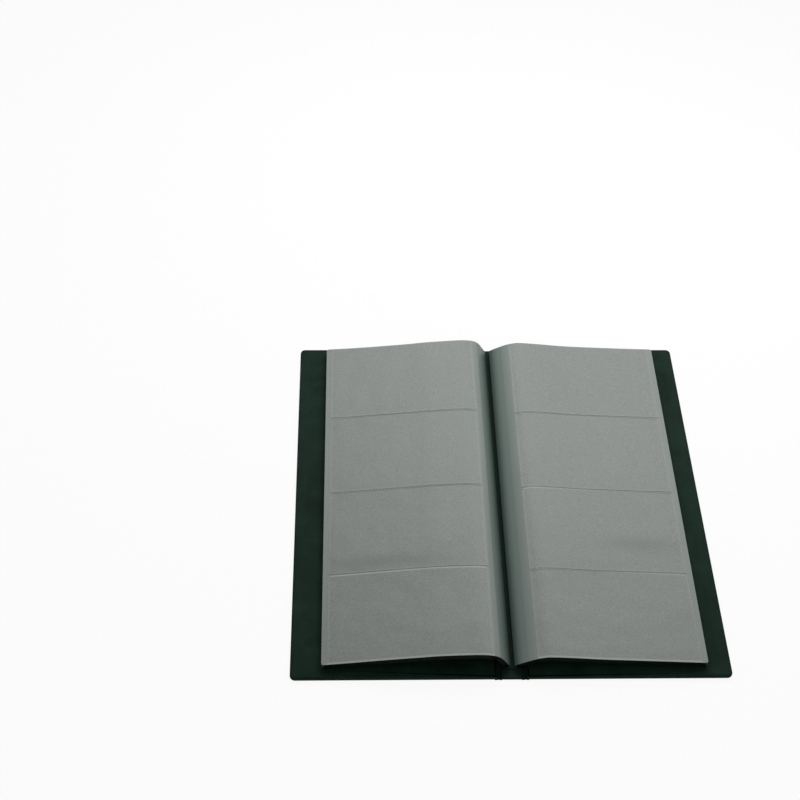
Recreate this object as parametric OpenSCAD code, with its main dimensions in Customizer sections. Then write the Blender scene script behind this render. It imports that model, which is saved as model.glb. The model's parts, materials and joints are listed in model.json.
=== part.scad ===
// Business card book, lying open: a padded casing of two covers and a soft spine,
// with a block of clear leaves that hold cards in four pockets on each face.
// Origin: middle of the spine, on the table. X runs across the open book, Y up the page, Z up.
// The front cover and its half of the leaves lie on the left, towards -X.

/* [Pockets] */
// Width of a pocket between its side seams
pocket_w = 91; // [86:0.5:100]
// Height of a pocket, from its foot to its mouth
pocket_h = 60.25; // [52:0.25:70]
// Width of the open slit between a pocket's mouth and the film above it
mouth_gap = 1; // [0.5:0.1:2]
// Radius of the cut corners at a pocket's mouth
mouth_r = 2; // [1:0.5:4]
// Width of a welded seam
seam_w = 1.2; // [0.8:0.1:1.5]

/* [Leaves] */
// Width of the plain edge outside the outer side seam
fore_margin = 3.2; // [2:0.2:6]
// Width of the plain margin from the binding strip to the inner side seam
binding_w = 12.8; // [11:0.1:18]
// Radius of the two corners at the fore edge of a leaf
leaf_corner_r = 1.5; // [0.5:0.5:3]
// Thickness of the middle sheet of a leaf
sheet_t = 0.16; // [0.1:0.02:0.2]
// Thickness of a pocket film
film_t = 0.12; // [0.08:0.02:0.16]
// Room for a card in a pocket that lies empty
pocket_gap = 0.12; // [0.08:0.02:0.16]
// Clearance between one leaf and the next
leaf_clear = 0.14; // [0.1:0.02:0.2]

/* [Casing] */
// How far the covers stand beyond the leaves at the head
head_square = 4; // [2:0.5:8]
// How far the covers stand beyond the leaves at the foot
foot_square = 6; // [2:0.5:8]
// How far the covers stand beyond the leaves at the fore edge of the closed book
fore_square = 5.8; // [3:0.1:9]
// Thickness of a cover, skin, board and lining together
cover_t = 3; // [2.4:0.1:4]
// Thickness of the leathercloth skin
skin_t = 0.5; // [0.3:0.05:0.7]
// Thickness of the lining sheet on the inner face
lining_t = 0.4; // [0.2:0.05:0.6]
// Width of the turned-in skin that shows round the lining
turn_in = 6; // [4:0.5:12]
// Corner radius of a cover, seen from above
corner_r = 3; // [1.5:0.5:6]
// Radius of the rolled edge of a cover
edge_r = 1.1; // [0.6:0.1:1.1]
// Width of the soft groove between a hinge line and its cover panel
groove_w = 1.8; // [1.6:0.1:3]
// Half of the slit between two pieces of skin at a hinge line
hinge_slit = 0.1; // [0.05:0.05:0.2]

/* [Spine] */
// Width of the stiffener in the spine
spine_board_w = 9; // [6:0.5:9.5]
// Thickness of the stiffener in the spine
spine_board_t = 0.9; // [0.5:0.1:1]
// Thickness of the plastic strip that the leaves are welded to
binding_t = 0.7; // [0.4:0.1:0.9]

/* [Lie of the open leaves] */
// Lean of the left binding margins from upright
left_lean = 32; // [25:1:45]
// Lean of the right binding margins from upright
right_lean = 50; // [40:1:60]
// How far short of the inner seam the left leaves fold over
left_fold_short = 3.8; // [3:0.1:6]
// How far short of the inner seam the right leaves fold over
right_fold_short = 5.2; // [3:0.1:6]
// Gap between the lowest leaf's fore edge and the lining under it
rest_gap = 0.15; // [0.1:0.05:0.3]
// Bare slit at the fold, between a binding margin and its leaf
crease_slit = 0.3; // [0.2:0.1:0.6]

/* [Hidden] */
leaves_per_side = 5;
pockets_per_face = 4;
joint_room = 0.25;
root_gap = 0.1;
through = 1;
$fn = 48;

film_w = pocket_w + 2 * seam_w;
pocket_pitch = pocket_h + mouth_gap;
leaf_h = pockets_per_face * pocket_pitch;
leaf_w = binding_w + film_w + fore_margin;
leaf_t = sheet_t + 2 * (pocket_gap + film_t);
leaf_pitch = leaf_t + leaf_clear;
stack_t = leaves_per_side * leaf_pitch;

binding_z = skin_t + spine_board_t + lining_t;
root_z = binding_z + binding_t + root_gap;
hinge_z = skin_t;
hinge_x = stack_t + joint_room + cover_t - hinge_z;
cover_x = hinge_x + groove_w;
cover_w = root_z + leaf_w + fore_square - hinge_z - groove_w;
cover_h = leaf_h + head_square + foot_square;
spine_h = cover_h - 2 * edge_r;
leaf_shift = (foot_square - head_square) / 2;
board_t = cover_t - skin_t - lining_t;

cloth_green = [0.05, 0.10, 0.08];
lining_green = [0.06, 0.13, 0.10];
board_grey = [0.55, 0.53, 0.48];
film_clear = [0.80, 0.84, 0.84, 0.5];
sheet_milky = [0.66, 0.70, 0.70, 0.8];
binding_green = [0.08, 0.14, 0.11];

function lean(side) = side == "left" ? left_lean : right_lean;
function fold_short(side) = side == "left" ? left_fold_short : right_fold_short;
// Distance from the binding strip to the fold.
function fold_w(side) = binding_w - fold_short(side);
// Free width of a leaf, from the fold to its fore edge.
function panel_w(side) = leaf_w - fold_w(side);
// Leaf 1 lies on its cover and the last leaf is on top, with its face in view.
function stack_x(number) = (leaves_per_side - number + 0.5) * leaf_pitch;
// Height of the fold, the line about which a whole side's leaves bend.
function crease_z(side) = root_z + fold_w(side) * cos(lean(side)) + stack_t / 2 * sin(lean(side));
// Slope at which the lowest leaf runs from the fold down to the lining.
function leaf_slope(side) =
    let (below = stack_x(1) + leaf_t / 2 - stack_t / 2)
    asin((crease_z(side) - cover_t - rest_gap) / norm([below, panel_w(side)])) - atan2(below, panel_w(side));
// Angle between a binding margin and its leaf.
function bend(side) = 90 + leaf_slope(side) - lean(side);
// A leaf inside the bend is shorter by this much at the fold.
function bend_trim(side, number) =
    max(0, stack_x(number) + leaf_pitch / 2 - stack_t / 2) * tan(bend(side) / 2);

function leaf_nodes(side) = [
    for (number = [1:leaves_per_side], piece = ["sheet", "pockets", "seams"])
        str(side, "_leaf_", number, "_", piece)
];

// Puts a piece that is drawn for the right half on its own half of the book.
module on_side(side) {
    mirror([side == "left" ? 1 : 0, 0, 0]) children();
}

// A rectangle with round corners, its lower left corner at the origin.
module round_rectangle(w, h, r) {
    translate([r, 0]) square([w - 2 * r, h]);
    translate([0, r]) square([w, h - 2 * r]);
    for (x = [r, w - r], y = [r, h - r]) translate([x, y]) circle(r);
}

// A rectangle whose two corners on +X are round.
module half_round_rectangle(w, h, r) {
    round_rectangle(w, h, r);
    square([w / 2, h]);
}

// The board inside a cover.
module board_blank() {
    translate([skin_t, skin_t, skin_t]) linear_extrude(board_t)
        half_round_rectangle(cover_w - 2 * skin_t, cover_h - 2 * skin_t, corner_r - skin_t);
}

// The lining sheet, which lies between the turned-in edges of the skin.
module lining_blank(t) {
    translate([turn_in, turn_in, cover_t - lining_t]) cube([cover_w - 2 * turn_in, cover_h - 2 * turn_in, t]);
}

// A whole cover, with its four sides rolled over.
module rolled_slab() {
    intersection() {
        linear_extrude(cover_t) half_round_rectangle(cover_w, cover_h, corner_r);
        translate([0, cover_h, 0]) rotate([90, 0, 0]) linear_extrude(cover_h)
            round_rectangle(cover_w, cover_t, edge_r);
        rotate([90, 0, 90]) linear_extrude(cover_w) round_rectangle(cover_h, cover_t, edge_r);
    }
}

// Puts a piece of a cover in its place.
module on_cover(side) {
    on_side(side) translate([cover_x, -cover_h / 2, 0]) children();
}

// Leathercloth wrapped round the board, turned in at the edges, with a flap to the hinge line.
module cover_skin(side) {
    color(cloth_green) on_cover(side) {
        difference() {
            rolled_slab();
            board_blank();
            lining_blank(lining_t + through);
        }
        translate([hinge_slit - groove_w, edge_r, 0])
            cube([groove_w - hinge_slit + edge_r, cover_h - 2 * edge_r, skin_t]);
    }
}

module cover_board(side) {
    color(board_grey) on_cover(side) board_blank();
}

module cover_lining(side) {
    color(lining_green) on_cover(side) lining_blank(lining_t);
}

// A strip down the middle of the spine.
module spine_strip(w, h, z, t) {
    translate([-w / 2, -h / 2, z]) cube([w, h, t]);
}

// Leathercloth between the hinge lines, turned in over the ends of the stiffener at head and foot.
module spine_skin() {
    color(cloth_green) {
        spine_strip(2 * (hinge_x - hinge_slit), spine_h, 0, skin_t);
        difference() {
            spine_strip(spine_board_w, spine_h, 0, binding_z);
            spine_strip(spine_board_w + through, spine_h - 2 * skin_t, skin_t, spine_board_t);
            spine_strip(spine_board_w + through, cover_h - 2 * turn_in, skin_t, binding_z);
        }
    }
}

module spine_board() {
    color(board_grey) spine_strip(spine_board_w, spine_h - 2 * skin_t, skin_t, spine_board_t);
}

module spine_lining() {
    color(lining_green)
        spine_strip(spine_board_w, cover_h - 2 * turn_in, skin_t + spine_board_t, lining_t);
}

module binding_strip() {
    color(binding_green) translate([0, leaf_shift, 0])
        spine_strip(2 * stack_t, leaf_h, binding_z, binding_t);
}

// Stands a piece on the spine and leans it out. Its X runs out from the middle of the closed book,
// and its Z runs up from the binding strip.
module leaned(side) {
    on_side(side) translate([stack_t, leaf_shift, root_z]) rotate([0, lean(side), 0])
        translate([-stack_t, 0, 0]) children();
}

// The margins of all leaves on one side, nested in each other.
module binding_margins(side) {
    color(sheet_milky) leaned(side) for (number = [1:leaves_per_side])
        translate([stack_x(number) - sheet_t / 2, -leaf_h / 2, 0])
            cube([sheet_t, leaf_h, fold_w(side) - crease_slit - bend_trim(side, number)]);
}

// Puts a piece of one leaf in its place. The piece is drawn flat, with the fold along Y at X = 0,
// its fore edge towards +X and its middle plane at Z = 0.
module on_leaf(side, number) {
    leaned(side) translate([stack_t / 2, 0, fold_w(side)]) rotate([0, bend(side), 0])
        translate([stack_x(number) - stack_t / 2, 0, 0]) rotate([0, -90, 0]) children();
}

// Puts what one pocket has in the place of each pocket of a leaf, four on each face.
module on_pockets(side, number) {
    on_leaf(side, number) for (face = [0, 1], row = [0:pockets_per_face - 1]) mirror([0, 0, face])
        translate([fold_short(side), row * pocket_pitch - leaf_h / 2, sheet_t / 2]) children();
}

module leaf_sheet(side, number) {
    trim = bend_trim(side, number);
    color(sheet_milky) on_leaf(side, number)
        translate([trim, -leaf_h / 2, -sheet_t / 2]) linear_extrude(sheet_t)
            half_round_rectangle(panel_w(side) - trim, leaf_h, leaf_corner_r);
}

// A pocket film: three sides are welded, and the upper corners at the mouth are cut round.
module leaf_pockets(side, number) {
    color(film_clear) on_pockets(side, number) translate([0, 0, pocket_gap]) linear_extrude(film_t) {
        round_rectangle(film_w, pocket_h, mouth_r);
        square([film_w, pocket_h / 2]);
    }
}

// The welds of one pocket: two sides and a foot, with the mouth left open.
module leaf_seams(side, number) {
    color(film_clear) on_pockets(side, number) {
        cube([film_w, seam_w, pocket_gap]);
        for (x = [0, film_w - seam_w]) translate([x, 0, 0]) cube([seam_w, pocket_h - mouth_r, pocket_gap]);
    }
}

// One piece of one leaf.
module leaf_piece(side, number, piece) {
    if (piece == "sheet") leaf_sheet(side, number);
    if (piece == "pockets") leaf_pockets(side, number);
    if (piece == "seams") leaf_seams(side, number);
}

cover_skin("left");  // front_skin
cover_board("left");  // front_board
cover_lining("left");  // front_lining
spine_skin();
spine_board();
spine_lining();
binding_strip();
cover_skin("right");  // back_skin
cover_board("right");  // back_board
cover_lining("right");  // back_lining
binding_margins("left");  // left_binding_margins
binding_margins("right");  // right_binding_margins
for (side = ["left", "right"], number = [1:leaves_per_side], piece = ["sheet", "pockets", "seams"])
    leaf_piece(side, number, piece);
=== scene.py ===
import bisect
import json
import math

import bmesh
import bpy
from mathutils import Matrix, Vector


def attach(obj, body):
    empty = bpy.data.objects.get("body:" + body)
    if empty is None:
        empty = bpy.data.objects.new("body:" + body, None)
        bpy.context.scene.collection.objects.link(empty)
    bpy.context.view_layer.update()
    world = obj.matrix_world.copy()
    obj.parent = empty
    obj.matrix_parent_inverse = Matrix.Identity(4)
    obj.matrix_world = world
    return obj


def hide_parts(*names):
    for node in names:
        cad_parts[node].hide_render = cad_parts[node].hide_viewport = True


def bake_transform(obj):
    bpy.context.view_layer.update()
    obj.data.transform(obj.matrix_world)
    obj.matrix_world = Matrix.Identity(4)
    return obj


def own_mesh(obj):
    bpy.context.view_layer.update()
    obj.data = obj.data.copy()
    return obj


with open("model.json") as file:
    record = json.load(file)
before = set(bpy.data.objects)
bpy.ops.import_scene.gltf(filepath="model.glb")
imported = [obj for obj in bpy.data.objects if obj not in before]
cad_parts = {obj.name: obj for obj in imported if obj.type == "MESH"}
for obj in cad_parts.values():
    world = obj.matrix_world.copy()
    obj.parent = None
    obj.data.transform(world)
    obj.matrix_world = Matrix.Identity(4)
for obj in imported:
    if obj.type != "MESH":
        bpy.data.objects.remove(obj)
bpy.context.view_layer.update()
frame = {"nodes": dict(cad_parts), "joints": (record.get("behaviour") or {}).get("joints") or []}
MM = 0.001

# The boards: two sheets of grey pulp board inside the covers and a thin strip of it in the spine.
# They are guillotined flat and glued in, and nothing of them shows once the casing is closed.


def linear(hex_colour):
    """A colour written as sRGB hex, as the linear RGBA that a shader socket takes."""
    parts = [int(hex_colour[i:i + 2], 16) / 255 for i in (1, 3, 5)]
    return [c / 12.92 if c <= 0.04045 else ((c + 0.055) / 1.055) ** 2.4 for c in parts] + [1.0]


def add(tree, kind, inputs=None, **settings):
    """Adds a shader node, sets its settings, and fills or links its inputs."""
    made = tree.nodes.new("ShaderNode" + kind)
    for name, value in settings.items():
        setattr(made, name, value)
    for name, value in (inputs or {}).items():
        if isinstance(value, bpy.types.NodeSocket):
            tree.links.new(value, made.inputs[name])
        else:
            made.inputs[name].default_value = value
    return made


def new_material(name):
    material = bpy.data.materials.new(name)
    material.use_nodes = True
    material.node_tree.nodes.clear()
    return material, material.node_tree


# Greyboard: pressed from waste paper, so it is dull and flecked with fibres about 1.5 mm long.
greyboard, tree = new_material("greyboard")
place = add(tree, "TexCoord").outputs["Object"]
fibre_mm = 1.5
flecks = add(tree, "TexNoise", {"Vector": place, "Scale": 1 / (fibre_mm * MM), "Detail": 4.0})
tint = add(tree, "ValToRGB", {"Fac": flecks.outputs["Fac"]})
tint.color_ramp.elements[0].color = linear("#8a877d")
tint.color_ramp.elements[1].color = linear("#b3afa3")
nap = add(tree, "Bump", {"Height": flecks.outputs["Fac"], "Strength": 0.3, "Distance": 0.05 * MM})
shader = add(tree, "BsdfPrincipled", {"Base Color": tint.outputs["Color"], "Roughness": 0.9,
                                      "Normal": nap.outputs["Normal"]})
add(tree, "OutputMaterial", {"Surface": shader.outputs["BSDF"]})
for name in ("front_board", "back_board", "spine_board"):
    frame["nodes"][name].data.materials.clear()
    frame["nodes"][name].data.materials.append(greyboard)

# The two covers: vinyl leathercloth glued round each board and turned in 6 mm on the inside.
# The cloth rolls over the board's edges, and the two corners at the fore edge are rounded.
cover_w = 115.5 * MM
cover_h = 255 * MM
cover_t = 3 * MM
hinge_x = 6.65 * MM
groove_w = 1.8 * MM
cover_x = hinge_x + groove_w
turn_in = 6 * MM
lining_t = 0.4 * MM
hem_step = 0.15 * MM
corner_r = 3 * MM
edge_r = 1.1 * MM
SIDES = {"left": -1, "right": 1}
COVERS = {"left": "front", "right": "back"}


def finished(name, bm, *materials):
    """Makes an object of a bmesh, with soft shading over its rounded edges and sharp real corners."""
    mesh = bpy.data.meshes.new(name)
    bm.to_mesh(mesh)
    bm.free()
    for material in materials:
        mesh.materials.append(material)
    mesh.shade_smooth()
    mesh.set_sharp_from_angle(angle=math.radians(40))
    piece = bpy.data.objects.new(name, mesh)
    bpy.context.scene.collection.objects.link(piece)
    return piece


# Vinyl leathercloth: calendered and embossed with a pebble grain about 1.1 mm wide, semi-matt.
# The eye sees a nearly black green that breaks up into soft points of light.
leathercloth, tree = new_material("vinyl_leathercloth")
place = add(tree, "TexCoord").outputs["Object"]
grain_mm = 1.1
cloud_mm = 14
crease_share = 0.45
pebbles = add(tree, "TexVoronoi", {"Vector": place, "Scale": 1 / (grain_mm * MM)}, feature="SMOOTH_F1")
creases = add(tree, "TexNoise", {"Vector": place, "Scale": 1 / (crease_share * grain_mm * MM),
                                 "Detail": 3.0})
height = add(tree, "Math", {0: pebbles.outputs["Distance"], 1: creases.outputs["Fac"]},
             operation="SUBTRACT")
grain = add(tree, "Bump", {"Height": height.outputs["Value"], "Strength": 0.45, "Distance": 0.12 * MM})
clouds = add(tree, "TexNoise", {"Vector": place, "Scale": 1 / (cloud_mm * MM), "Detail": 5.0,
                                "Roughness": 0.6})
shade = add(tree, "MapRange", {"Value": clouds.outputs["Fac"], "From Min": 0.3, "From Max": 0.7})
tint = add(tree, "ValToRGB", {"Fac": shade.outputs["Result"]})
tint.color_ramp.elements[0].color = linear("#12231b")
tint.color_ramp.elements[1].color = linear("#1c3127")
gloss = add(tree, "MapRange", {"Value": clouds.outputs["Fac"], "From Min": 0.3, "From Max": 0.7,
                               "To Min": 0.5, "To Max": 0.62})
shader = add(tree, "BsdfPrincipled", {"Base Color": tint.outputs["Color"],
                                      "Roughness": gloss.outputs["Result"], "IOR": 1.5,
                                      "Specular IOR Level": 0.05, "Normal": grain.outputs["Normal"]})
add(tree, "OutputMaterial", {"Surface": shader.outputs["BSDF"]})

for side, sign in SIDES.items():
    cover = COVERS[side]
    middle = sign * (cover_x + cover_w / 2)
    fore = sign * (cover_x + cover_w)
    bm = bmesh.new()
    bmesh.ops.create_cube(bm, size=1, matrix=Matrix.Translation((middle, 0, cover_t / 2))
                          @ Matrix.Diagonal((cover_w, cover_h, cover_t, 1)))
    inner_face = max(bm.faces, key=lambda f: f.calc_center_median().z)
    bmesh.ops.inset_region(bm, faces=[inner_face], thickness=turn_in, depth=0, use_even_offset=True)
    bmesh.ops.inset_region(bm, faces=[inner_face], thickness=hem_step, depth=-lining_t, use_even_offset=True)
    upright = [e for e in bm.edges if abs(e.verts[0].co.z - e.verts[1].co.z) > cover_t / 2]
    fore_corners = [e for e in upright if abs(e.verts[0].co.x - fore) < edge_r]
    spine_corners = [e for e in upright if abs(e.verts[0].co.x - sign * cover_x) < edge_r]
    bmesh.ops.bevel(bm, geom=fore_corners, offset=corner_r, offset_type="OFFSET", segments=8, profile=0.5,
                    affect="EDGES", material=-1)
    bmesh.ops.bevel(bm, geom=[e for e in spine_corners if e.is_valid], offset=edge_r / 2,
                    offset_type="OFFSET", segments=3, profile=0.5, affect="EDGES", material=-1)
    bm.normal_update()
    outer = [e for e in bm.edges if abs(e.verts[0].co.y) > (cover_h - turn_in) / 2
             or abs(e.verts[0].co.x - middle) > (cover_w - turn_in) / 2]
    rim = [e for e in outer if any(abs(f.normal.z) < 0.1 for f in e.link_faces)
           and any(abs(f.normal.z) > 0.9 for f in e.link_faces)]
    bmesh.ops.bevel(bm, geom=rim, offset=edge_r, offset_type="OFFSET", segments=5, profile=0.5,
                    affect="EDGES", material=-1)
    cloth = finished(f"{cover}_cover_cloth", bm, leathercloth)
    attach(cloth, f"{cover}_cover")
    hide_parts(f"{cover}_skin")

# The spine and its two hinges: the same leathercloth runs on between the covers, over a thin strip.
# A groove is pressed into it beside each cover, and there the bare cloth is the hinge.
skin_t = 0.5 * MM
hinge_lap = 1.0 * MM
hinge_start = hinge_x - hinge_lap
hinge_end = cover_x + edge_r
spine_cloth_w = 2 * hinge_start
groove_depth = 0.45 * MM
# At head and foot the cloth turns round the ends of the strip and lies back on its inner face.
wrap_r = 0.675 * MM
wrap_y = cover_h / 2 - skin_t / 2 - wrap_r
wrap_len = math.pi * wrap_r
flap_end_y = cover_h / 2 - turn_in
path_len = wrap_y + wrap_len + (wrap_y - flap_end_y)


def thickened(bm, thickness, rim=0):
    """Gives a sheet its thickness, half to each side, and closes its edges, which take material rim."""
    bm.normal_update()
    for v, out in [(v, v.normal.copy()) for v in bm.verts]:
        v.co += out * thickness / 2
    flat = len(bm.faces)
    bmesh.ops.solidify(bm, geom=bm.faces[:], thickness=thickness)
    bm.faces.ensure_lookup_table()
    for face in bm.faces[2 * flat:]:
        face.material_index = rim
    return bm


bm = bmesh.new()
bmesh.ops.create_grid(bm, x_segments=16, y_segments=400, size=0.5,
                      matrix=Matrix.Diagonal((spine_cloth_w, 2 * path_len, 1, 1)))
for v in bm.verts:
    run = abs(v.co.y)
    end = math.copysign(1, v.co.y)
    turned = min(math.pi, max(0, run - wrap_y) / wrap_r)
    back = max(0, run - wrap_y - wrap_len)
    v.co.y = end * (min(run, wrap_y) + wrap_r * math.sin(turned) - back)
    v.co.z = skin_t / 2 + wrap_r * (1 - math.cos(turned))
spine_cloth = finished("spine_cloth", thickened(bm, skin_t), leathercloth)
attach(spine_cloth, "spine")
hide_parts("spine_skin")
for side, sign in SIDES.items():
    cover = COVERS[side]
    bm = bmesh.new()
    bmesh.ops.create_grid(bm, x_segments=20, y_segments=48, size=0.5,
                          matrix=Matrix.Translation((sign * (hinge_start + hinge_end) / 2, 0, skin_t / 2))
                          @ Matrix.Diagonal((hinge_end - hinge_start, cover_h, 1, 1)))
    for v in bm.verts:
        share = (abs(v.co.x) - hinge_start) / (hinge_end - hinge_start)
        v.co.z += groove_depth * math.sin(math.pi * share) ** 2
    hinge = finished(f"{cover}_hinge_cloth", thickened(bm, skin_t), leathercloth)
    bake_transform(hinge)

# The linings: a thin vinyl sheet glued inside each cover and over the spine strip.
# It hides the edges of the turned-in cloth, and lies nearly flush with them.

# Lining vinyl: calendered thin with a pebble grain about 0.8 mm wide, so it is even, dark and matt.
lining_vinyl, tree = new_material("lining_vinyl")
place = add(tree, "TexCoord").outputs["Object"]
lining_grain_mm = 0.8
pebbles = add(tree, "TexVoronoi", {"Vector": place, "Scale": 1 / (lining_grain_mm * MM)},
              feature="SMOOTH_F1")
grain = add(tree, "Bump", {"Height": pebbles.outputs["Distance"], "Strength": 0.3, "Distance": 0.08 * MM})
clouds = add(tree, "TexNoise", {"Vector": place, "Scale": 1 / (cloud_mm * MM), "Detail": 5.0})
shade = add(tree, "MapRange", {"Value": clouds.outputs["Fac"], "From Min": 0.3, "From Max": 0.7})
tint = add(tree, "ValToRGB", {"Fac": shade.outputs["Result"]})
tint.color_ramp.elements[0].color = linear("#12231b")
tint.color_ramp.elements[1].color = linear("#1b3026")
shader = add(tree, "BsdfPrincipled", {"Base Color": tint.outputs["Color"], "Roughness": 0.6, "IOR": 1.5,
                                      "Specular IOR Level": 0.05, "Normal": grain.outputs["Normal"]})
add(tree, "OutputMaterial", {"Surface": shader.outputs["BSDF"]})
for name in ("front_lining", "back_lining", "spine_lining"):
    frame["nodes"][name].data.materials.clear()
    frame["nodes"][name].data.materials.append(lining_vinyl)

# The binding strip: a flat bar of dark vinyl down the spine, to which the leaves are welded on edge.
# It lies deep in the fold, and shows only as a dark line between the two halves.

# Binding vinyl: drawn through a die, so it is smooth and nearly black, with faint marks about 3 mm apart.
binding_vinyl, tree = new_material("binding_vinyl")
place = add(tree, "TexCoord").outputs["Object"]
drag_mm = 3
marks = add(tree, "TexNoise", {"Vector": place, "Scale": 1 / (drag_mm * MM), "Detail": 2.0})
tint = add(tree, "ValToRGB", {"Fac": marks.outputs["Fac"]})
tint.color_ramp.elements[0].color = linear("#16221c")
tint.color_ramp.elements[1].color = linear("#202e27")
shader = add(tree, "BsdfPrincipled", {"Base Color": tint.outputs["Color"], "Roughness": 0.6, "IOR": 1.5,
                                      "Specular IOR Level": 0.03})
add(tree, "OutputMaterial", {"Surface": shader.outputs["BSDF"]})
frame["nodes"]["binding_strip"].data.materials.clear()
frame["nodes"]["binding_strip"].data.materials.append(binding_vinyl)

# The binding margins: the plain inner ends of the five leaves on each side, film as thin as paper.
# They stand on the binding strip, lean out and roll over into the leaves.
leaves_per_side = 5
leaf_pitch = 0.78 * MM
sheet_t = 0.16 * MM
leaf_h = 245 * MM
leaf_middle_y = 1 * MM
leaf_w = 109.4 * MM
fold_w = {"left": 9.0 * MM, "right": 7.6 * MM}
root_share = 0.4
bend_start_share = 0.8
# The top page in section, in mm from the middle of the spine and from the table: up out of the spine,
# over, and out to the fore edge.
page_run = {
    "left": ((-0.92, 4.5), (-3.3, 8.4), (-5.5, 12.0), (-8, 14.3), (-12, 15.6), (-20, 16.0), (-40, 14.6),
             (-51, 13.2), (-70, 10.9), (-90, 8.5), (-106.4, 6.8)),
    "right": ((1.64, 5.3), (5.3, 7.6), (12.1, 11.2), (17, 12.8), (22, 13.3), (36, 12.1), (52, 10.4),
              (80, 8.6), (110.2, 6.9)),
}
twist = {"left": 0.9 * MM, "right": 0.5 * MM}
joint_of = {j["name"]: j for j in frame["joints"]}
lean = {side: math.radians(-joint_of[f"{side}_margins_lean"]["range_deg"][0]) for side in SIDES}


def smooth_run(points):
    """Fine points along a soft curve through the given ones, each with its distance from the last point."""
    ends = [Vector(p) * MM for p in points]
    ends = [2 * ends[0] - ends[1]] + ends + [2 * ends[-1] - ends[-2]]
    steps = 40
    fine = []
    for before, start, stop, after in zip(ends, ends[1:], ends[2:], ends[3:]):
        square = 2 * before - 5 * start + 4 * stop - after
        cube = 3 * start - before - 3 * stop + after
        for step in range(steps):
            t = step / steps
            fine.append(0.5 * (2 * start + (stop - before) * t + square * t ** 2 + cube * t ** 3))
    fine = [ends[-2]] + fine[::-1]
    run = [0.0]
    for a, b in zip(fine, fine[1:]):
        run.append(run[-1] + (b - a).length)
    return fine, run


section = {side: smooth_run(page_run[side]) for side in SIDES}


def lie(side, number, along, y, lift):
    """Where a point of a leaf lies at rest, in X and Z. Along is measured out from the fold, and the
    binding margin is on its minus side. Lift is the height above the middle of the leaf."""
    fine, run = section[side]
    free_w = leaf_w - fold_w[side]
    inward = free_w - along
    if along < 0:
        inward = free_w + (run[-1] - free_w) * -along / fold_w[side]
    i = min(len(run) - 2, max(0, bisect.bisect_right(run, inward) - 1))
    at = fine[i].lerp(fine[i + 1], (inward - run[i]) / (run[i + 1] - run[i]))
    spread = 3
    ahead = fine[max(0, i - spread)] - fine[min(len(fine) - 1, i + 1 + spread)]
    above = Vector((-ahead.y, ahead.x)).normalized() * SIDES[side]
    rooted = min(1, max(0, -along / fold_w[side] - (1 - root_share)) / root_share)
    above = above.lerp(Vector((-SIDES[side] * math.cos(lean[side]), math.sin(lean[side]))), rooted)
    bow = math.sin(math.pi * min(1, max(0, along / free_w)))
    arch = twist[side] * (leaf_middle_y - y) / (leaf_h / 2) * bow
    return at + above * ((number - leaves_per_side) * leaf_pitch + lift + arch)


# Cut edge of film: where the knife went through, the film is clear, and its edge is painted nearly black as
# the shade that falls between the leaves.
# Painted shade: the dark between the leaves, used on cut edges and along the feet of films.
painted_shade_between_leaves = linear("#0c1612")
shaded_cut_edge_film, tree = new_material("cut_edge_of_film_painted_shade")
place = add(tree, "TexCoord").outputs["Object"]
nick_mm = 6
nicks = add(tree, "TexNoise", {"Vector": place, "Scale": 1 / (nick_mm * MM), "Detail": 3.0})
tint = add(tree, "ValToRGB", {"Fac": nicks.outputs["Fac"]})
tint.color_ramp.elements[0].color = painted_shade_between_leaves
tint.color_ramp.elements[1].color = linear("#1a2620")
shader = add(tree, "BsdfPrincipled", {"Base Color": tint.outputs["Color"], "Roughness": 0.5, "IOR": 1.5,
                                      "Specular IOR Level": 0.05})
add(tree, "OutputMaterial", {"Surface": shader.outputs["BSDF"]})

# How far up from the foot of a film the painted shade between the leaves reaches, in mm.
painted_foot_shade_mm = (0.3, 0.9)
# A distance past the reach of every shade that is painted by distance from an edge.
out_of_reach_mm = 10


def painted_shade_at_foot(tree, colour):
    """Paints shade into a film's colour along its foot, for the shade that falls between the leaves."""
    from_foot = add(tree, "Attribute", attribute_name="from_foot_mm").outputs["Fac"]
    depth = add(tree, "MapRange", {"Value": from_foot, "From Min": painted_foot_shade_mm[0],
                                   "From Max": painted_foot_shade_mm[1], "To Min": 1.0, "To Max": 0.0})
    mixed = add(tree, "Mix", {0: depth.outputs["Result"], 6: colour, 7: painted_shade_between_leaves}, data_type="RGBA")
    return mixed.outputs[2]


def foot_distance(y, top):
    """Distance from the foot of a leaf in mm. The top face of the stack is set out of reach of the painted
    shade at the foot.
    """
    return (y - leaf_middle_y + leaf_h / 2) / MM + (out_of_reach_mm if top else 0)


# Binding film: the same milky film as the leaves, a single layer, so the dark strip shows through it, and
# its colour also carries painted gutter shade, darkest at the root.
binding_film, tree = new_material("milky_binding_film")
place = add(tree, "TexCoord").outputs["Object"]
frost_mm = 1.6
frost = add(tree, "TexNoise", {"Vector": place, "Scale": 1 / (frost_mm * MM), "Detail": 4.0})
height = add(tree, "Attribute", attribute_name="height_on_margin")
uneven = add(tree, "MapRange", {"Value": frost.outputs["Fac"], "To Min": -0.05, "To Max": 0.05})
depth = add(tree, "Math", {0: height.outputs["Fac"], 1: uneven.outputs["Result"]}, operation="ADD")
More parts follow.
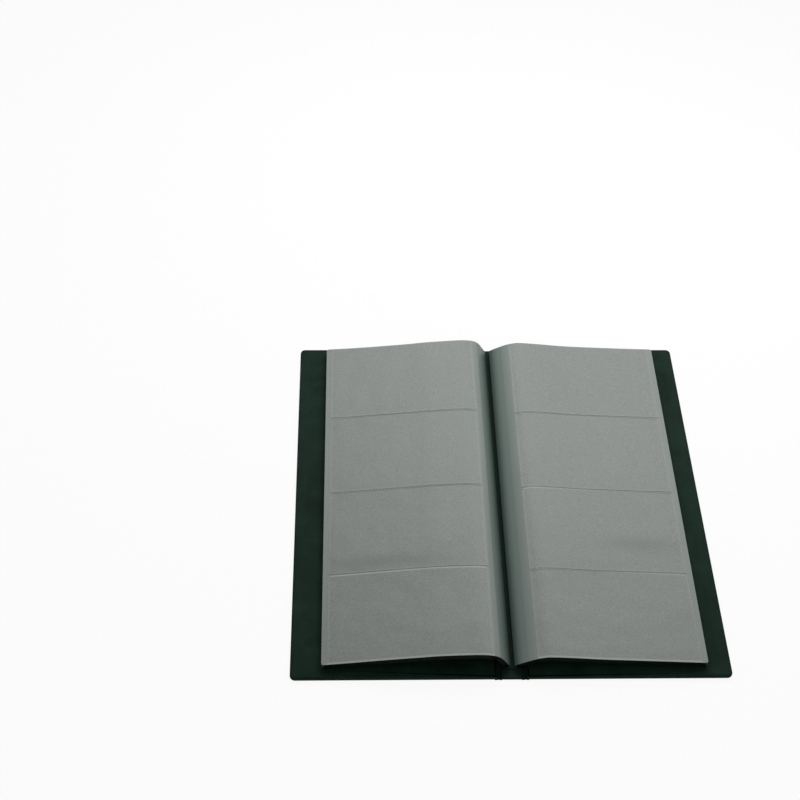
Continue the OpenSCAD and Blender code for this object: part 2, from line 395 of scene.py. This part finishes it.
# Painted gutter shade: darker towards the root of the margin, deep in the fold, and grey at the top of the
# margin.
tint = add(tree, "ValToRGB", {"Fac": depth.outputs["Value"]})
tint.color_ramp.elements[0].position = 0.08
tint.color_ramp.elements[0].color = linear("#3d4e48")
tint.color_ramp.elements[1].position = 1.0
tint.color_ramp.elements[1].color = linear("#78847e")
tint.color_ramp.elements.new(0.36).color = linear("#616f69")
tint.color_ramp.elements.new(0.67).color = linear("#74807b")
shader = add(tree, "BsdfPrincipled", {"Base Color": painted_shade_at_foot(tree, tint.outputs["Color"]),
                                      "Roughness": 0.4, "IOR": 1.5, "Specular IOR Level": 0.2, "Alpha": 0.9})
add(tree, "OutputMaterial", {"Surface": shader.outputs["BSDF"]})

for side in SIDES:
    bm = bmesh.new()
    height = bm.verts.layers.float.new("height_on_margin")
    from_foot = bm.verts.layers.float.new("from_foot_mm")
    for number in range(1, leaves_per_side + 1):
        strip = bmesh.ops.create_grid(bm, x_segments=24, y_segments=40, size=0.5,
                                      matrix=Matrix.Translation((-fold_w[side] / 2, leaf_middle_y, 0))
                                      @ Matrix.Diagonal((fold_w[side], leaf_h, 1, 1)))
        for v in strip["verts"]:
            # Height on the margin, which sets its painted gutter shade.
            v[height] = 1 + v.co.x / fold_w[side]
            v[from_foot] = foot_distance(v.co.y, number == leaves_per_side)
            v.co.x, v.co.z = lie(side, number, v.co.x, v.co.y, 0)
    bmesh.ops.recalc_face_normals(bm, faces=bm.faces)
    margins = finished(f"{side}_margin_films", thickened(bm, sheet_t, rim=1), binding_film, shaded_cut_edge_film)
    middle_leaf = (leaves_per_side + 1) // 2
    first = lie(side, middle_leaf, -fold_w[side] * bend_start_share, leaf_middle_y, 0)
    last = lie(side, middle_leaf, 0, leaf_middle_y, 0)
    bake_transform(margins)
    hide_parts(f"{side}_binding_margins")

# The leaves: ten sheets of milky polypropylene film, five a side, cut square with eased corners.
# Each lies on the one below it and arches a little.
leaf_corner_r = 1.5 * MM
page_clear = 2.6 * MM

# Milky polypropylene film: cast on a fine matt roller, so it is grey and even, with a faint frost.
leaf_film, tree = new_material("milky_leaf_film")
place = add(tree, "TexCoord").outputs["Object"]
frost = add(tree, "TexNoise", {"Vector": place, "Scale": 1 / (frost_mm * MM), "Detail": 5.0,
                               "Roughness": 0.65})
haze_mm = 30
haze = add(tree, "TexNoise", {"Vector": place, "Scale": 1 / (haze_mm * MM), "Detail": 2.0})
mottle = add(tree, "Math", {0: frost.outputs["Fac"], 1: haze.outputs["Fac"]}, operation="ADD")
shade = add(tree, "MapRange", {"Value": mottle.outputs["Value"], "From Min": 0.7, "From Max": 1.3})
tint = add(tree, "ValToRGB", {"Fac": shade.outputs["Result"]})
tint.color_ramp.elements[0].color = linear("#828884")
tint.color_ramp.elements[1].color = linear("#8b918d")
# Near the fold the film is tinted darker and greener: partly the dark binding seen through it, partly
# painted gutter shade.
from_fold = add(tree, "Attribute", attribute_name="from_fold_mm").outputs["Fac"]
see_through_and_shade_mm = 7.0
clear = add(tree, "MapRange", {"Value": from_fold, "From Min": 0.0, "From Max": see_through_and_shade_mm, "To Min": 1.0,
                               "To Max": 0.2})
through = add(tree, "Mix", {0: clear.outputs["Result"], 6: tint.outputs["Color"], 7: linear("#76827c")},
              data_type="RGBA")
nap = add(tree, "Bump", {"Height": frost.outputs["Fac"], "Strength": 0.06, "Distance": 0.03 * MM})
shader = add(tree, "BsdfPrincipled", {"Base Color": painted_shade_at_foot(tree, through.outputs[2]),
                                      "Roughness": 0.45, "IOR": 1.5, "Specular IOR Level": 0.3,
                                      "Normal": nap.outputs["Normal"]})
add(tree, "OutputMaterial", {"Surface": shader.outputs["BSDF"]})


def carried(piece, side, number):
    """Sets a piece of a leaf on its body, and past leaf 1 gives it a mesh of its own.
    Leaf 1 stays on its cover."""
    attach(piece, f"{side}_leaf_{number}")
    if number == 1:
        return
    turn = joint_of[f"{side}_leaf_{number}_turn"]
    pivot = Vector((turn["pos_m"][0], turn["pos_m"][2]))
    other_page = section["left" if side == "right" else "right"][0]
    fore = lie(side, number, leaf_w - fold_w[side], leaf_middle_y, 0)
    if number == leaves_per_side:
        fore = 2 * pivot - other_page[0] - Vector((0, page_clear))
    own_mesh(piece)


for side in SIDES:
    free_w = leaf_w - fold_w[side]
    for number in range(1, leaves_per_side + 1):
        bm = bmesh.new()
        bmesh.ops.create_grid(bm, x_segments=60, y_segments=48, size=0.5,
                              matrix=Matrix.Translation((free_w / 2, leaf_middle_y, 0))
                              @ Matrix.Diagonal((free_w, leaf_h, 1, 1)))
        corners = [v for v in bm.verts if v.co.x > free_w - edge_r and len(v.link_edges) == 2]
        bmesh.ops.bevel(bm, geom=corners, offset=leaf_corner_r, offset_type="OFFSET", segments=4,
                        profile=0.5, affect="VERTICES", material=-1)
        from_fold = bm.verts.layers.float.new("from_fold_mm")
        from_foot = bm.verts.layers.float.new("from_foot_mm")
        for v in bm.verts:
            # The left page is set out of reach of the painted gutter shade near the fold.
            v[from_fold] = v.co.x / MM + (0 if side == "right" else out_of_reach_mm)
            v[from_foot] = foot_distance(v.co.y, number == leaves_per_side)
            v.co.x, v.co.z = lie(side, number, v.co.x, v.co.y, 0)
        bmesh.ops.recalc_face_normals(bm, faces=bm.faces)
        sheet = finished(f"{side}_leaf_{number}_film", thickened(bm, sheet_t, rim=1),
                         leaf_film, shaded_cut_edge_film)
        carried(sheet, side, number)
        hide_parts(f"{side}_leaf_{number}_sheet")

# The pockets: four clear films on each face of a leaf, welded down at both sides and at the foot.
# The mouth stays open at the top, with round corners, and stands off a little where fingers go in.
pocket_w = 91 * MM
pocket_h = 60.25 * MM
mouth_gap = 1 * MM
mouth_r = 2 * MM
seam_w = 1.2 * MM
film_t = 0.12 * MM
pocket_gap = 0.12 * MM
pockets_per_face = 4
film_w = pocket_w + 2 * seam_w
binding_w = 12.8 * MM
weld_clear = 0.01 * MM
welded = sheet_t / 2 + film_t / 2 + weld_clear
swell_w = 5 * MM
# The upper part of a film stands off in waves. Films in view are free, and the others are pressed close.
mouth_zone = 0.4
free_lift = 0.5 * MM
pressed_lift = 0.05 * MM
wave_depth = 0.35
wave_rate = 7
row_phase = 2.1
side_phase = 1.3
# How light the weld at the foot of a pocket is painted: on the upper rows it is the weld's own faint tone,
# and on the lowest row, at the edge of the page, it is also a painted highlight.
page_foot_highlight = 0.9
row_foot_weld_tone = 0.15
# Painted light at the mouths in view, from the foot of the page up, at the inner and outer end of each:
# plus is a painted highlight on an edge that stands off, and minus is a painted shadow on one that lies
# close.
mouth_painted_light = {"left": ((0.8, 1.0), (-0.9, -0.3), (-1.0, -0.4), (0.1, 0.1)),
               "right": ((-0.8, 0.6), (0.7, -0.7), (-0.7, -0.5), (0.1, 0.1))}
# Painted shade where the film of one pocket in view hangs slack and turns from the light: its place from the
# inner weld and from the foot of the pocket, and its half size in both directions, in mm.
slack_shade_row = 1
painted_slack_shade = {"left": (62, 7, 34, 4.5), "right": (70, 20, 22, 5.5)}

# Clear pocket film: thinner, blown film with a matt emboss, so the sheet behind shows as through frost.
pocket_film, tree = new_material("frosted_pocket_film")
place = add(tree, "TexCoord").outputs["Object"]
emboss_mm = 0.9
emboss = add(tree, "TexNoise", {"Vector": place, "Scale": 1 / (emboss_mm * MM), "Detail": 4.0,
                                "Roughness": 0.6})
shade = add(tree, "MapRange", {"Value": emboss.outputs["Fac"], "From Min": 0.35, "From Max": 0.65})
tint = add(tree, "ValToRGB", {"Fac": shade.outputs["Result"]})
tint.color_ramp.elements[0].color = linear("#888d89")
tint.color_ramp.elements[1].color = linear("#989d99")
across = add(tree, "Attribute", attribute_name="across_mm").outputs["Fac"]
up = add(tree, "Attribute", attribute_name="up_mm").outputs["Fac"]
mouth_light_and_shade = add(tree, "Attribute", attribute_name="mouth_highlight_and_shadow").outputs["Fac"]
weld_from_mm = seam_w / MM - 0.2
weld_to_mm = seam_w / MM + 0.2
side_weld_light = 0.22
from_far = add(tree, "Math", {0: film_w / MM, 1: across}, operation="SUBTRACT")
from_side = add(tree, "Math", {0: across, 1: from_far.outputs["Value"]}, operation="MINIMUM")
side_weld = add(tree, "MapRange", {"Value": from_side.outputs["Value"], "From Min": weld_from_mm,
                                   "From Max": weld_to_mm, "To Min": side_weld_light, "To Max": 0.0})
foot_weld = add(tree, "MapRange", {"Value": up, "From Min": weld_from_mm, "From Max": weld_to_mm,
                                   "To Min": 1.0, "To Max": 0.0})
foot_weld_and_highlight = add(tree, "Attribute", attribute_name="foot_weld_and_highlight").outputs["Fac"]
foot_weld = add(tree, "Math", {0: foot_weld.outputs["Result"], 1: foot_weld_and_highlight}, operation="MULTIPLY")
weld = add(tree, "Math", {0: side_weld.outputs["Result"], 1: foot_weld.outputs["Value"]},
           operation="MAXIMUM")
mouth_from_mm = pocket_h / MM - 1.0
mouth_to_mm = pocket_h / MM - 0.3
mouth_shadow = 0.75
# Painted highlight and painted shadow along the mouth of each pocket, set mouth by mouth.
cut_edge = add(tree, "MapRange", {"Value": up, "From Min": mouth_from_mm, "From Max": mouth_to_mm})
mouth_light_share = add(tree, "Math", {0: cut_edge.outputs["Result"], 1: mouth_light_and_shade}, operation="MULTIPLY")
shadow = add(tree, "Math", {0: mouth_light_share.outputs["Value"], 1: -mouth_shadow}, operation="MULTIPLY",
             use_clamp=True)
mouth_highlight = add(tree, "Math", {0: mouth_light_share.outputs["Value"], 1: 1.0}, operation="MULTIPLY", use_clamp=True)
# Painted shade where the film of one pocket hangs slack, darkening the film's colour.
hollow_shade = 0.3
slack_shade = add(tree, "Attribute", attribute_name="painted_slack_shade").outputs["Fac"]
slack_shade_share = add(tree, "Math", {0: slack_shade, 1: hollow_shade}, operation="MULTIPLY")
slack_shade_tint = add(tree, "Mix", {0: slack_shade_share.outputs["Value"], 6: tint.outputs["Color"],
                               7: linear("#5f6662")}, data_type="RGBA")
# The welds are painted lighter, and the foot edge of the page also takes a painted highlight.
weld_and_highlight_tint = add(tree, "Mix", {0: weld.outputs["Value"], 6: slack_shade_tint.outputs[2], 7: linear("#a9b3ad")},
                  data_type="RGBA")
mouth_shadow_tint = add(tree, "Mix", {0: shadow.outputs["Value"], 6: weld_and_highlight_tint.outputs[2], 7: linear("#565d59")},
                data_type="RGBA")
mouth_highlight_tint = add(tree, "Mix", {0: mouth_highlight.outputs["Value"], 6: mouth_shadow_tint.outputs[2], 7: linear("#b9c0bb")},
                data_type="RGBA")
slack_mm = 24
slack = add(tree, "TexNoise", {"Vector": place, "Scale": 1 / (slack_mm * MM), "Detail": 2.0})
loose = add(tree, "Bump", {"Height": slack.outputs["Fac"], "Strength": 0.5, "Distance": 1.5 * MM})
nap = add(tree, "Bump", {"Height": emboss.outputs["Fac"], "Strength": 0.08, "Distance": 0.03 * MM,
                         "Normal": loose.outputs["Normal"]})
shader = add(tree, "BsdfPrincipled", {"Base Color": painted_shade_at_foot(tree, mouth_highlight_tint.outputs[2]),
                                      "Roughness": 0.38, "IOR": 1.5, "Specular IOR Level": 0.3, "Alpha": 0.8,
                                      "Normal": nap.outputs["Normal"]})
add(tree, "OutputMaterial", {"Surface": shader.outputs["BSDF"]})

for side, sign in SIDES.items():
    inner_seam = binding_w - fold_w[side]
    slack_shade_x, slack_shade_y, slack_shade_w, slack_shade_h = painted_slack_shade[side]
    for number in range(1, leaves_per_side + 1):
        bm = bmesh.new()
        across_mm = bm.verts.layers.float.new("across_mm")
        up_mm = bm.verts.layers.float.new("up_mm")
        mouth_highlight_and_shadow = bm.verts.layers.float.new("mouth_highlight_and_shadow")
        foot_weld_and_highlight = bm.verts.layers.float.new("foot_weld_and_highlight")
        from_foot = bm.verts.layers.float.new("from_foot_mm")
        slack_shade = bm.verts.layers.float.new("painted_slack_shade")
        for face in (1, -1):
            in_view = face == 1 and number == leaves_per_side
            mouth_lift = free_lift if in_view else pressed_lift
            for row in range(pockets_per_face):
                foot = leaf_middle_y - leaf_h / 2 + row * (pocket_h + mouth_gap)
                inner_light, outer_light = mouth_painted_light[side][row]
                film = bmesh.ops.create_grid(bm, x_segments=30, y_segments=20, size=0.5,
                                             matrix=Matrix.Translation((film_w / 2, pocket_h / 2, 0))
                                             @ Matrix.Diagonal((film_w, pocket_h, 1, 1)))
                corners = [v for v in film["verts"] if v.co.y > pocket_h - edge_r and len(v.link_edges) == 2]
                others = set(bm.verts) - set(film["verts"])
                bmesh.ops.bevel(bm, geom=corners, offset=mouth_r, offset_type="OFFSET", segments=4,
                                profile=0.5, affect="VERTICES", material=-1)
                for v in set(bm.verts) - others:
                    v[across_mm] = v.co.x / MM
                    v[up_mm] = v.co.y / MM
                    # How much painted highlight or shadow this mouth takes, from its inner to its outer end.
                    v[mouth_highlight_and_shadow] = inner_light + (outer_light - inner_light) * v.co.x / film_w
                    v[foot_weld_and_highlight] = page_foot_highlight if row == 0 else row_foot_weld_tone
                    # Painted shade where the film hangs slack, on one row of the leaf in view.
                    if in_view and row == slack_shade_row:
                        v[slack_shade] = math.exp(-((v[across_mm] - slack_shade_x) / slack_shade_w) ** 2
                                             - ((v[up_mm] - slack_shade_y) / slack_shade_h) ** 2)
                    to_seam = min(v.co.x, film_w - v.co.x, v.co.y) - seam_w
                    open_share = min(1, max(0, to_seam / swell_w))
                    mouth_share = max(0, v.co.y / pocket_h - (1 - mouth_zone)) / mouth_zone
                    belly = math.sin(math.pi * min(1, max(0, v.co.x / film_w)))
                    phase = wave_rate * v.co.x / film_w + row_phase * row + side_phase * sign
                    wave = 1 + wave_depth * math.sin(phase)
                    lift = welded + open_share * (pocket_gap + mouth_lift * mouth_share ** 2 * belly * wave)
                    v.co.y += foot
                    v[from_foot] = foot_distance(v.co.y, in_view)
                    v.co.x, v.co.z = lie(side, number, v.co.x + inner_seam, v.co.y, face * lift)
        bmesh.ops.recalc_face_normals(bm, faces=bm.faces)
        films = finished(f"{side}_leaf_{number}_pocket_films", thickened(bm, film_t, rim=1),
                         pocket_film, shaded_cut_edge_film)
        carried(films, side, number)
        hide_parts(f"{side}_leaf_{number}_pockets", f"{side}_leaf_{number}_seams")

# The studio: a sheet of white paper under the book, one broad soft light over its far end and an even fill.
# The paper is seen nearly pure white, and keeps the book's faint shadow.
floor_w = 6.0
paper_share = 0.92
bm = bmesh.new()
bmesh.ops.create_grid(bm, x_segments=1, y_segments=1, size=floor_w / 2)
white_floor, tree = new_material("white_floor")
path = add(tree, "LightPath")
seen = add(tree, "Math", {0: path.outputs["Is Camera Ray"], 1: path.outputs["Is Glossy Ray"]},
           operation="MAXIMUM")
seen = add(tree, "Math", {0: seen.outputs["Value"], 1: path.outputs["Is Transmission Ray"]},
           operation="MAXIMUM")
share = add(tree, "Math", {0: seen.outputs["Value"], 1: paper_share}, operation="MULTIPLY")
matt = add(tree, "BsdfDiffuse", {"Color": linear("#f4f4f4")})
glow = add(tree, "Emission", {"Color": (1, 1, 1, 1), "Strength": 1.0})
mixed = add(tree, "MixShader", {0: share.outputs["Value"], 1: matt.outputs["BSDF"],
                                2: glow.outputs["Emission"]})
add(tree, "OutputMaterial", {"Surface": mixed.outputs["Shader"]})
floor = finished("floor", bm, white_floor)

fill_light = 0.39
scene = bpy.context.scene
scene.view_settings.view_transform = "Standard"
world = bpy.data.worlds.new("studio")
scene.world = world
world.use_nodes = True
tree = world.node_tree
tree.nodes.clear()
path = add(tree, "LightPath")
sky = add(tree, "Background", {"Color": (1, 1, 1, 1), "Strength": fill_light})
backdrop = add(tree, "Background", {"Color": (1, 1, 1, 1), "Strength": 1.0})
mixed = add(tree, "MixShader", {0: path.outputs["Is Camera Ray"], 1: sky.outputs["Background"],
                                2: backdrop.outputs["Background"]})
add(tree, "OutputWorld", {"Surface": mixed.outputs["Shader"]})

key_at = Vector((0.08, 0.34, 0.42))
key_aim = Vector((0, 0.05, 0))
lamp = bpy.data.lights.new("soft_key", "AREA")
lamp.shape = "RECTANGLE"
lamp.size = 0.6
lamp.size_y = 0.3
lamp.energy = 2.2
key = bpy.data.objects.new("soft_key", lamp)
key.location = key_at
key.rotation_euler = (key_aim - key_at).to_track_quat("-Z", "Y").to_euler()
scene.collection.objects.link(key)

# The camera stands over the foot of the book and looks down on it at about 48 degrees.
camera_at = (-0.08594, -0.57668, 0.72405)
camera_turn_deg = (42.4068, -1.15, -1.1288)
lens = bpy.data.cameras.new("camera")
lens.sensor_width = 36
lens.lens = 67.696
camera = bpy.data.objects.new("camera", lens)
camera.location = camera_at
camera.rotation_euler = [math.radians(a) for a in camera_turn_deg]
scene.collection.objects.link(camera)
scene.camera = camera
